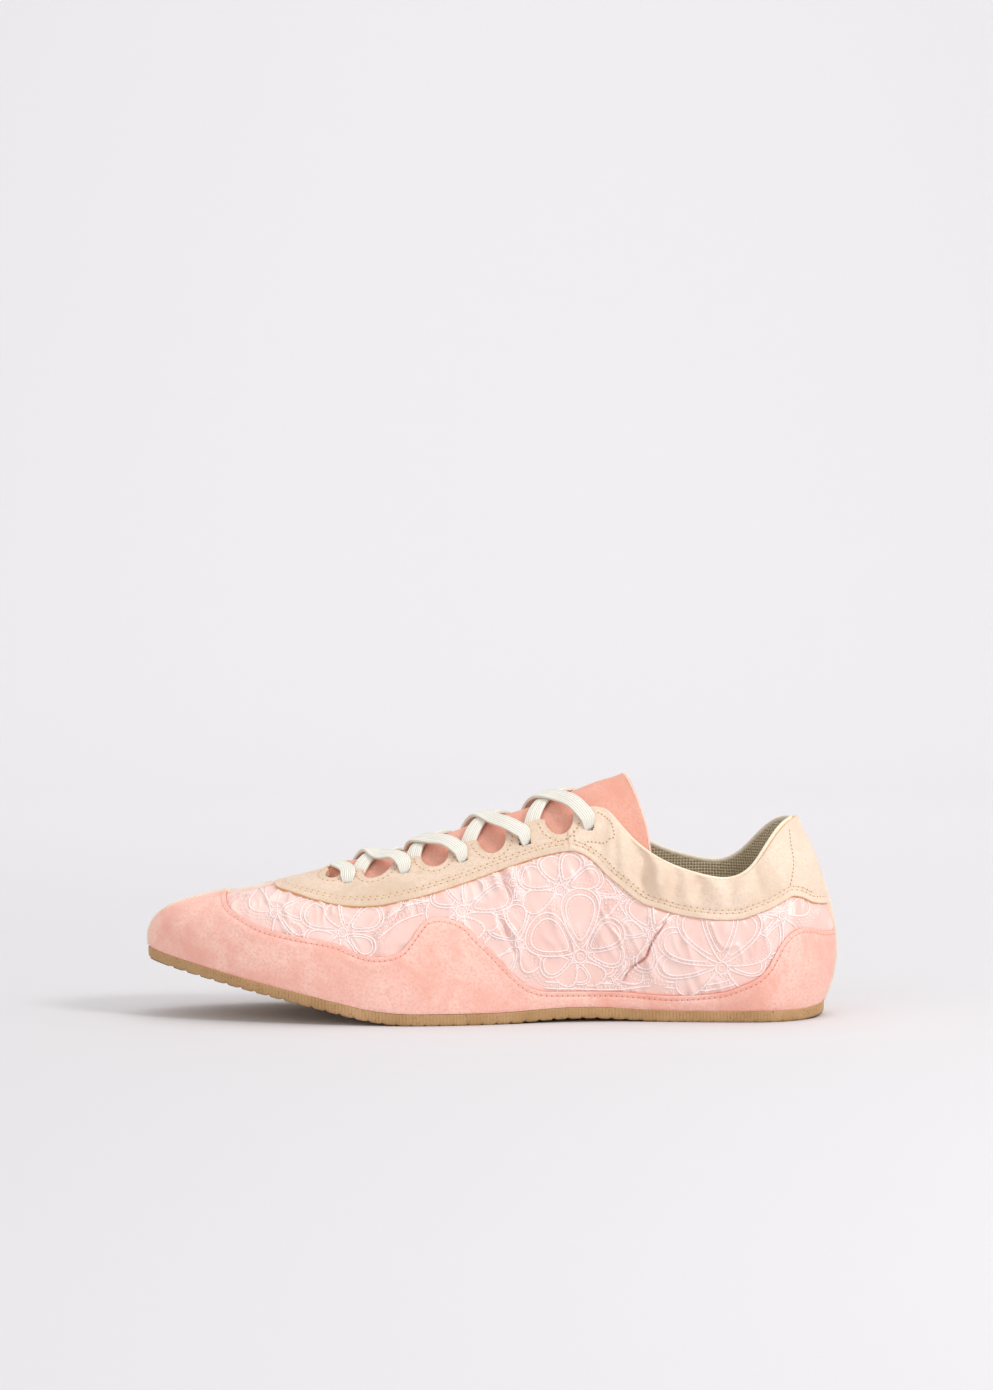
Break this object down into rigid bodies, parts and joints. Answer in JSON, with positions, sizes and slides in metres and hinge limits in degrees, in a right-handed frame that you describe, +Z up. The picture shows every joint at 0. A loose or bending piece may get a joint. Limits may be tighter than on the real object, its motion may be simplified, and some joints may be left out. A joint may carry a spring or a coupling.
{
  "type": "sneaker",
  "caption": "Slim low lace-up sneaker with a thin lugged rubber sole, suede mudguard, scalloped lace facing, soft collar band, tongue and flat lace.",
  "frame": {"origin": "middle of the heel's flat resting spot, on the floor", "axes": "+X from the toe to the heel, -Y towards the outer side of the foot, +Z up"},
  "size_m": [0.2706, 0.0857, 0.095],
  "materials": {
    "outsole": "matte tan gum rubber with fine upright ribs",
    "insole": "beige sock lining",
    "upper": "pale pink embroidered satin, beige lining inside",
    "mudguard": "salmon pink suede",
    "cream_suede": "cream suede",
    "tongue": "salmon pink suede with a pale cut edge",
    "lace": "off-white flat woven cotton"
  },
  "bodies": {
    "root": {"outsole": "outsole", "insole": "insole", "upper": "upper", "mudguard": "mudguard", "eyestay": "cream_suede", "collar_band_outer": "cream_suede", "collar_band_inner": "cream_suede", "toe_strip": "cream_suede", "heel_strip": "cream_suede", "tongue": "tongue", "lace_bar": "lace", "lace_crossing_1": "lace", "lace_crossing_2": "lace", "lace_crossing_3": "lace", "lace_crossing_4": "lace"}
  },
  "joints": []
}
